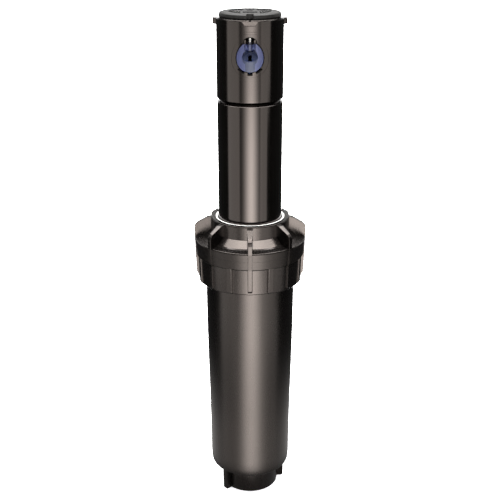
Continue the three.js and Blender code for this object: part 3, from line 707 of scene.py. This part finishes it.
class Finish(Bench):
    # one material on object coordinates, in metres
    def __init__(self, name):
        self.material = bpy.data.materials.new(name)
        self.material.use_nodes = True
        super().__init__(self.material.node_tree)
        self.place = self.node("ShaderNodeTexCoord", out=3)
        parts = self.node("ShaderNodeSeparateXYZ", None, self.place).socket.node
        self.x, self.y, self.z = (Wire(self, socket) for socket in parts.outputs)

    def noise(self, scale, detail=3.0, rough=0.5, stretch=(1, 1, 1)):
        place = self.node("ShaderNodeMapping", None, self.place, Scale=stretch)
        return self.node("ShaderNodeTexNoise", None, place, Scale=scale, Detail=detail, Roughness=rough)

    def spots(self, scale, low, high):
        place = self.node("ShaderNodeTexVoronoi", {"feature": "F1"}, self.place, Scale=scale)
        return place.within(low, high)

    def bump(self, height, distance, after=None):
        return self.node("ShaderNodeBump", None, Height=height, Distance=distance, Strength=1.0, Normal=after)

    def done(self, colour, rough, normal=None, **fixed):
        node = self.tree.nodes.new("ShaderNodeBsdfPrincipled")
        for name, value in (("Base Color", colour), ("Roughness", rough), ("Normal", normal)):
            if isinstance(value, Wire):
                self.tree.links.new(value.socket, node.inputs[name])
            elif value is not None:
                node.inputs[name].default_value = value
        for name, value in fixed.items():
            node.inputs[name.replace("_", " ")].default_value = value
        output = self.tree.nodes.new("ShaderNodeOutputMaterial")
        self.tree.links.new(node.outputs[0], output.inputs["Surface"])
        return self.material


warmGloss = (1.0, 0.86, 0.78, 1)


def blackPlastic(name, gloss, grain, drag=0.0, dust=0.25, relief=0.0, dull=None):
    # moulded black plastic: fine grain, faint flow marks, a little dust and handling wear
    f = Finish(name)
    flow = f.noise(60, 4, 0.6, (1, 1, 0.12))
    fine = f.noise(2600, 2, 0.5)
    cloud = f.noise(38, 3, 0.6)
    scuffs = f.noise(420, 3, 0.7, (1, 1, 0.05)).within(0.6, 0.75)
    dusty = f.spots(900, 0.12, 0.02) * cloud.within(0.5, 0.75)
    shade = f.mixColour(cloud.within(0.3, 0.7), (0.0016, 0.0014, 0.0013), (0.003, 0.0026, 0.0024))
    colour = f.mixColour(dusty * dust, shade, (0.16, 0.15, 0.14))
    rough = gloss + (flow - 0.5) * 0.10 + scuffs * 0.06 + (cloud - 0.5) * 0.05
    if dull:
        # a band between two heights is moulded duller
        low, high, more = dull
        above = f.z.within((low - 0.3) * mm, low * mm)
        below = f.z.within(high * mm, (high + 0.3) * mm, 1, 0)
        rough = rough + above * below * more
    first = f.bump(fine, grain * mm)
    if relief:
        first = f.bump(f.noise(700, 3, 0.6), relief * mm, after=first)
    if drag:
        first = f.bump(f.noise(300, 2, 0.5, (0.2, 0.2, 6)), drag * mm, after=first)
    return f.done(colour, rough, first, IOR=1.5, Specular_Tint=warmGloss)


def rubberFinish(name):
    f = Finish(name)
    fine = f.noise(3200, 4, 0.7)
    cloud = f.noise(160, 4, 0.6)
    shade = f.mixColour(cloud.within(0.3, 0.7), (0.006, 0.0055, 0.005), (0.014, 0.013, 0.012))
    colour = f.mixColour(fine.within(0.55, 0.75) * 0.2, shade, (0.06, 0.058, 0.055))
    return f.done(colour, 0.55 + (cloud - 0.5) * 0.25, f.bump(fine, 0.05 * mm), IOR=1.3)


def nozzleFinish(name):
    # blue acetal; the deeper blue in the sunk disc and its neck is partly the nozzle's own darker blue and
    # partly painted shade of the recess
    f = Finish(name)
    tilt = math.radians(turret["nozzleTilt"])
    up = (f.z - turret["nozzleZ"] * mm) * math.cos(tilt) + (f.y + turret["radius"] * mm) * math.sin(tilt)
    across = f.x.maths("ABSOLUTE")
    fromMiddle = (f.x * f.x + up * up) ** 0.5
    disc = fromMiddle.within(nozzle["discR"] * mm * 0.97, nozzle["discR"] * mm * 1.04, 1, 0)
    neck = across.within(nozzle["neckHalf"] * mm * 0.96, nozzle["neckHalf"] * mm * 1.06, 1, 0) * (up < 0)
    keyholeShadeMask = disc.maths("MAXIMUM", neck)
    cloud = f.noise(420, 3, 0.6)
    pale = f.mixColour(cloud, (0.032, 0.042, 0.12), (0.05, 0.06, 0.15))
    deep = f.mixColour(cloud, (0.001, 0.006, 0.035), (0.004, 0.014, 0.06))
    # the sunk disc and neck get the deeper blue: painted shade of the recess over the nozzle's own darker
    # blue
    colour = f.mixColour(keyholeShadeMask, pale, deep)
    fine = f.noise(2400, 3, 0.6)
    return f.done(colour, 0.36 + (cloud - 0.5) * 0.16, f.bump(fine, 0.03 * mm), IOR=1.48,
                  Subsurface_Weight=0.08, Subsurface_Radius=(0.4, 0.6, 1.2), Subsurface_Scale=0.5 * mm)


def paleFinish(name, low, high, gloss=0.38):
    f = Finish(name)
    cloud = f.noise(240, 4, 0.6)
    fine = f.noise(1800, 2, 0.5)
    specks = f.spots(700, 0.08, 0.02)
    colour = f.mixColour(specks * 0.3, f.mixColour(cloud.within(0.25, 0.75), low, high), (0.16, 0.14, 0.11))
    return f.done(colour, gloss + (cloud - 0.5) * 0.2, f.bump(fine, 0.02 * mm), IOR=1.48)


def steelFinish(name):
    f = Finish(name)
    rings = f.noise(500, 3, 0.6, (0.1, 0.1, 5))
    cloud = f.noise(300, 3, 0.6)
    colour = f.mixColour(cloud.within(0.3, 0.7), (0.52, 0.51, 0.49), (0.70, 0.69, 0.67))
    return f.done(colour, 0.22 + (cloud - 0.5) * 0.2, f.bump(rings, 0.02 * mm), Metallic=1.0)


def paint(piece, material):
    piece.data.materials.clear()
    piece.data.materials.append(material)


# the studio
studio = {
    "cameraAt": (0, -0.493, 0.343), "pitch": 20.9, "lens": 65.4,
    # the bright strip at the front: its direction, and its light by height in degrees
    "stripCentre": 4.2, "stripSpread": 14.0, "stripWiden": 1.35,
    "strip": [(-90, 0.2), (-48, 0.3), (-45, 1.0), (-38, 6.0), (-34, 7.0), (-32.7, 8.0), (-30.7, 11.8),
              (-27.5, 12.8), (-24, 11.6), (-20, 13.5), (-14, 12.5), (-9.5, 6.4), (-7.5, 10), (-5.5, 10),
              (-3.5, 4), (0, 0.4), (60, 0.4), (90, 0.4)],
    # the flat panels beside it: their light and their ends
    "sides": [(-90, 0), (-33, 0), (-30.7, 0.45), (-27.5, 1.4), (-24, 2.0), (-5, 2.0), (-2, 0)],
    "sideStart": (34.5, 39), "leftEnd": 81.5,
    "rightEnd": [(-90, 78), (-25, 78), (-20, 61), (-12.1, 61), (-11.7, 71), (90, 71)],
    # what is behind the object: a strip like the front one, and a low band
    "backStrip": (163, 172), "backShare": 0.9,
    "backBand": (95, 120), "backBandTop": (10.5, 12.5), "backLight": 1.8,
    # the glow overhead, which comes down lower behind
    "zenith": (13, 7), "glowStart": (54, 34), "glowEnd": (64, 55), "dark": 0.035,
    # the floor, and under it the ring of light that the plastic mirrors
    "floorR": 4, "floorDrop": 0.02, "floorGlow": 0.6,
    "ringR": 0.22, "ringDrop": 0.3, "ringStart": (36, 52), "ringFade": (85, 215), "ringLight": 0.62,
    # where the painted shadow under the foot gives way in the plastic's reflections
    "blackFade": (37, 51),
}


def makeWorld():
    world = bpy.data.worlds.new("studio")
    bpy.context.scene.world = world
    world.use_nodes = True
    b = Bench(world.node_tree)
    way = b.node("ShaderNodeTexCoord", out=0)
    parts = b.node("ShaderNodeSeparateXYZ", None, way).socket.node
    x, y, z = (Wire(b, socket) for socket in parts.outputs)
    height = z.maths("ARCSINE") * (180 / math.pi)
    around = b.node("ShaderNodeMath", {"operation": "ARCTAN2"}, x, 0 - y) * (180 / math.pi)

    def byHeight(levels):
        # a value that changes with height, as a ramp between the stated angles
        peak = max(value for angle, value in levels)
        stops = [((angle + 90) / 180, (value / peak,) * 3) for angle, value in levels]
        return b.node("ShaderNodeValToRGB", {"stops": stops}, (height + 90) / 180) * peak

    level = byHeight(studio["strip"])
    width = height.within(-25, -20, studio["stripSpread"] * studio["stripWiden"], studio["stripSpread"])
    spread = (around - studio["stripCentre"]) / width
    bell = b.node("ShaderNodeMath", {"operation": "EXPONENT"}, spread * spread * -0.5)
    away = around.maths("ABSOLUTE")
    rightEnd = byHeight(studio["rightEnd"])
    end = rightEnd + (around < 0) * (studio["leftEnd"] - rightEnd)
    pastEnd = ((away - end) / 3).maths("MAXIMUM", 0).maths("MINIMUM", 1)
    plateau = away.within(*studio["sideStart"], 0, 1, True) * (1 - pastEnd) * byHeight(studio["sides"])
    backStrip = away.within(*studio["backStrip"], 0, 1, True) * level * studio["backShare"]
    low = height.within(-1, 1) * height.within(*studio["backBandTop"], 1, 0)
    backBand = away.within(*studio["backBand"], 0, 1, True) * low * studio["backLight"]
    behind = away.within(60, 110, 0, 1, True)
    (start, startBehind), (full, fullBehind) = studio["glowStart"], studio["glowEnd"]
    edge, middle = studio["zenith"]
    topGlow = height.within(start - behind * (start - startBehind), full - behind * (full - fullBehind),
                            0, edge, True) + height.within(full, 90, 0, middle)
    light = bell * level + plateau + backStrip + backBand + topGlow + studio["dark"]
    seen = b.node("ShaderNodeLightPath", out=0)
    strength = b.node("ShaderNodeMix", {"data_type": "FLOAT"}, seen, None, light, 1.0)
    background = b.node("ShaderNodeBackground", None, Color=(1, 1, 1, 1), Strength=strength)
    b.node("ShaderNodeOutputWorld", None, background)


def makeFloor():
    bpy.ops.mesh.primitive_circle_add(vertices=96, radius=studio["floorR"], fill_type="NGON",
                                      location=(0, 0, -studio["floorDrop"] * mm))
    floor = settle(newPiece("floor"))
    f = Finish("floor_card")
    grain = f.noise(90, 3, 0.6)
    card = f.mixColour(grain, (0.86, 0.86, 0.86), (0.92, 0.92, 0.92))
    paint(floor, f.done(card, 0.9, Emission_Color=(1, 1, 1, 1), Emission_Strength=studio["floorGlow"]))
    floor.visible_glossy = False
    floor.visible_diffuse = False
    glow = makeUnderGlow()


def makeUnderGlow():
    bpy.ops.mesh.primitive_circle_add(vertices=96, radius=studio["ringR"], fill_type="NGON",
                                      location=(0, 0, -studio["ringDrop"] * mm))
    glow = settle(newPiece("under_glow"))
    g = Finish("under_glow_light")
    # seen only in the plastic: a near black sheet near the foot, painted shadow that stands in for the
    # floor's contact shadow as the plastic mirrors it, then a pale ring that fades out
    away = (g.x * g.x + g.y * g.y) ** 0.5 / mm
    ring = away.within(*studio["ringStart"], 0, studio["ringLight"], True)
    power = ring * away.within(*studio["ringFade"], 1, 0) ** 2
    tint = g.mixColour(power, (0, 0, 0), (1.0, 0.98, 0.96))
    # painted shadow: a dim grey sheet that hides the bright strip from the plastic near the foot
    black = g.node("ShaderNodeEmission", None, Color=(0.25, 0.25, 0.25, 1))
    clear = g.node("ShaderNodeBsdfTransparent")
    body = g.node("ShaderNodeMixShader", None, away.within(*studio["blackFade"]), black, clear)
    light = g.node("ShaderNodeAddShader", None, body, g.node("ShaderNodeEmission", None, Color=tint))
    g.node("ShaderNodeOutputMaterial", None, light)
    paint(glow, g.material)
    for way in ("camera", "diffuse", "shadow", "transmission", "volume_scatter"):
        setattr(glow, f"visible_{way}", False)
    return glow


def makeCamera():
    data = bpy.data.cameras.new("camera")
    data.lens = studio["lens"]
    data.clip_start, data.clip_end = 0.01, 20
    camera = bpy.data.objects.new("camera", data)
    bpy.context.scene.collection.objects.link(camera)
    camera.location = studio["cameraAt"]
    camera.rotation_euler = (math.radians(90 - studio["pitch"]), 0, 0)
    bpy.context.scene.camera = camera
    bpy.context.scene.view_settings.view_transform = "Standard"


bpy.ops.object.select_all(action="DESELECT")
makeCamera()
makeWorld()
makeFloor()
print("studio ready")

casePlastic = blackPlastic("case_plastic", 0.27, 0.012, relief=0.012)
capPlastic = blackPlastic("cap_plastic", 0.24, 0.02, dust=0.4, relief=0.02,
                          dull=(cap["ledgeZ"], 163.6, 0.1))
riserPlastic = blackPlastic("riser_plastic", 0.13, 0.004, drag=0.004, dust=0.1)
turretPlastic = blackPlastic("turret_plastic", 0.15, 0.006, dust=0.15)
rubber = rubberFinish("rubber_skin")
nozzleBlue = nozzleFinish("nozzle_blue")
white = paleFinish("white_acetal", (0.82, 0.81, 0.79), (0.92, 0.91, 0.89), 0.3)
acetal = paleFinish("gear_acetal", (0.46, 0.43, 0.35), (0.60, 0.57, 0.48))
meshGrey = paleFinish("screen_grey", (0.10, 0.10, 0.095), (0.16, 0.16, 0.15), 0.5)
steel = steelFinish("turned_steel")
innerPlastic = blackPlastic("inner_plastic", 0.35, 0.02)
bySlot = {"rubber": rubber, "nozzle_plastic": nozzleBlue, "pale_plastic": white, "gear_plastic": acetal,
          "screen_plastic": meshGrey, "steel": steel, "housing_plastic": innerPlastic}
print("materials ready")

for make, material in ((makeCase, casePlastic), (makeCap, capPlastic), (makeRimRing, white),
                       (makeWiper, rubber), (makeSpring, steel), (makeRiser, riserPlastic),
                       (makeTurret, turretPlastic), (makeNozzle, nozzleBlue), (makeScrew, steel),
                       (makeCover, rubber)):
    paint(make(), material)
print("pieces ready")

# the plain nodes that stay are painted by the slot that their own material is named after
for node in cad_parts.values():
    if node.hide_render:
        continue
    slotName = node.data.materials[0].name.split(".")[0]
    paint(node, bySlot[slotName])
print("plain nodes ready")
